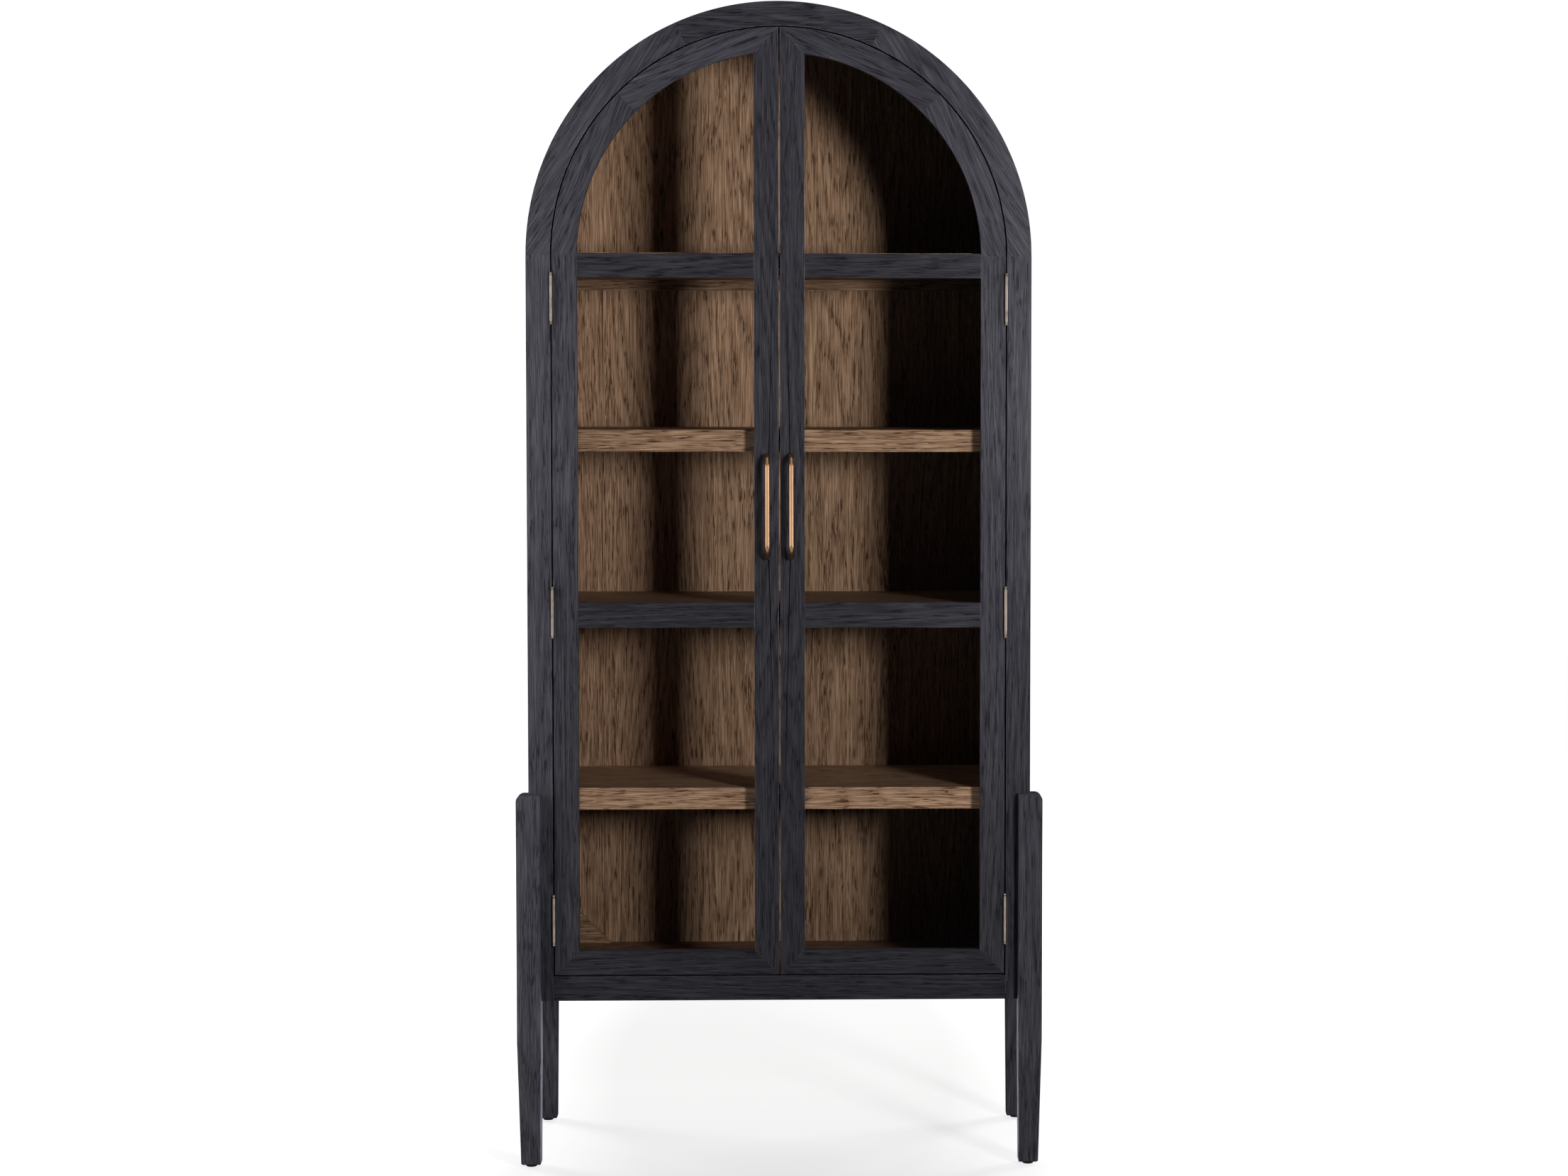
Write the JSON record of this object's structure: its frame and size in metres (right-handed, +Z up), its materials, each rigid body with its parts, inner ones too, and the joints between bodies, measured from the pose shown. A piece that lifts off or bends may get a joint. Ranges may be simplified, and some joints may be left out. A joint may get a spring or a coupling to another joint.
{
  "type": "apothecary cabinet",
  "caption": "Tall round-topped display cabinet on corner legs, with a pair of glazed doors on side hinges, fixed shelves and bar pulls.",
  "frame": {"origin": "on the floor, under the middle of the cabinet's overall box", "axes": "+X across to the right as seen from the doors, +Y to the back, doors on the -Y side, +Z up"},
  "size_m": [0.965, 0.472, 2.134],
  "materials": {
    "black_oak": "black-stained, wire-brushed oak, matt",
    "brown_oak": "mid-brown oak, matt lacquer",
    "glass": "clear float glass",
    "satin_brass": "satin bronze-brass",
    "aged_bronze": "pale aged bronze",
    "steel": "zinc-plated",
    "dowel_wood": "plain beech",
    "glide_plastic": "dark nylon"
  },
  "bodies": {
    "cabinet": {"arch_top_panel": "black_oak", "assembly_dowels": "dowel_wood", "back_panel": "brown_oak", "back_panel_screws": "steel", "back_rail": "brown_oak", "catch_magnets": "steel", "corner_braces": "brown_oak", "face_arch_crown": "black_oak", "face_arch_left": "black_oak", "face_arch_right": "black_oak", "face_bottom_rail": "black_oak", "face_stile_left": "black_oak", "face_stile_right": "black_oak", "floor_panel": "brown_oak", "foot_glides": "glide_plastic", "hinge_frame_leaves": "aged_bronze", "hinge_frame_screws": "steel", "hinge_pins": "aged_bronze", "leg_front_left": "black_oak", "leg_front_right": "black_oak", "leg_rear_left": "black_oak", "leg_rear_right": "black_oak", "shelf_1": "brown_oak", "shelf_2": "brown_oak", "shelf_3": "brown_oak", "shelf_4": "brown_oak", "side_panel_left": "black_oak", "side_panel_right": "black_oak"},
    "door_left": {"left_door_arch_rail_lower": "black_oak", "left_door_arch_rail_upper": "black_oak", "left_door_bottom_rail": "black_oak", "left_door_glass_lower": "glass", "left_door_glass_middle": "glass", "left_door_glass_upper": "glass", "left_door_glazing_beads": "black_oak", "left_door_hinge_leaves": "aged_bronze", "left_door_hinge_screws": "steel", "left_door_hinge_stile": "black_oak", "left_door_lower_mullion": "black_oak", "left_door_meeting_stile": "black_oak", "left_door_pull": "satin_brass", "left_door_pull_screws": "steel", "left_door_strike_plates": "steel", "left_door_upper_mullion": "black_oak"},
    "door_right": {"right_door_arch_rail_lower": "black_oak", "right_door_arch_rail_upper": "black_oak", "right_door_bottom_rail": "black_oak", "right_door_glass_lower": "glass", "right_door_glass_middle": "glass", "right_door_glass_upper": "glass", "right_door_glazing_beads": "black_oak", "right_door_hinge_leaves": "aged_bronze", "right_door_hinge_screws": "steel", "right_door_hinge_stile": "black_oak", "right_door_lower_mullion": "black_oak", "right_door_meeting_stile": "black_oak", "right_door_pull": "satin_brass", "right_door_pull_screws": "steel", "right_door_strike_plates": "steel", "right_door_upper_mullion": "black_oak"}
  },
  "joints": [
    {"name": "door_left_hinge", "type": "hinge", "parent": "cabinet", "child": "door_left", "pos_m": [-0.4143, -0.2072, 1], "axis": [0, 0, -1], "range_deg": [0, 135]},
    {"name": "door_right_hinge", "type": "hinge", "parent": "cabinet", "child": "door_right", "pos_m": [0.4143, -0.2072, 1], "axis": [0, 0, 1], "range_deg": [0, 135]}
  ]
}
